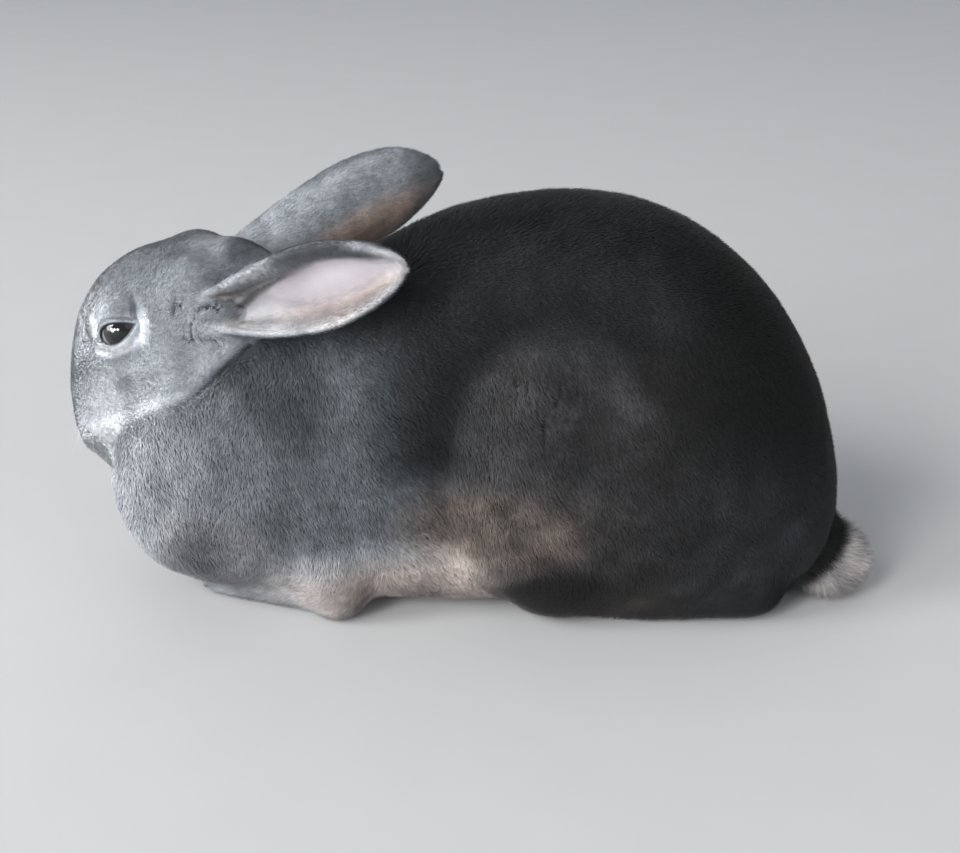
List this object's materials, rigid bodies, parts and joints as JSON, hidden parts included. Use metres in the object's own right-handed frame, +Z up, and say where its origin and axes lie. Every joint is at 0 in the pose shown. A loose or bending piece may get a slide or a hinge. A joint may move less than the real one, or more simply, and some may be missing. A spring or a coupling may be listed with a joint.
{
  "type": "small rabbit figure",
  "caption": "Life-size still figure of a small short-coated rabbit, crouched on the floor with its chin drawn in and its ears laid back.",
  "frame": {"origin": "middle of the box round all the solids, at the floor that the figure lies on", "axes": "-X towards the rabbit's face, -Y its left side, +Z up"},
  "size_m": [0.249, 0.0968, 0.1327],
  "materials": {
    "coat": "matt, dense short upright fur",
    "ear": "thin skin with fine short fur",
    "eye": "polished"
  },
  "bodies": {
    "root": {"head": "coat", "neck": "coat", "trunk": "coat", "tail": "coat", "fore_leg_left": "coat", "fore_leg_right": "coat", "hind_leg_left": "coat", "hind_leg_right": "coat", "ear_left": "ear", "ear_right": "ear", "eye_left": "eye", "eye_right": "eye"}
  },
  "joints": []
}
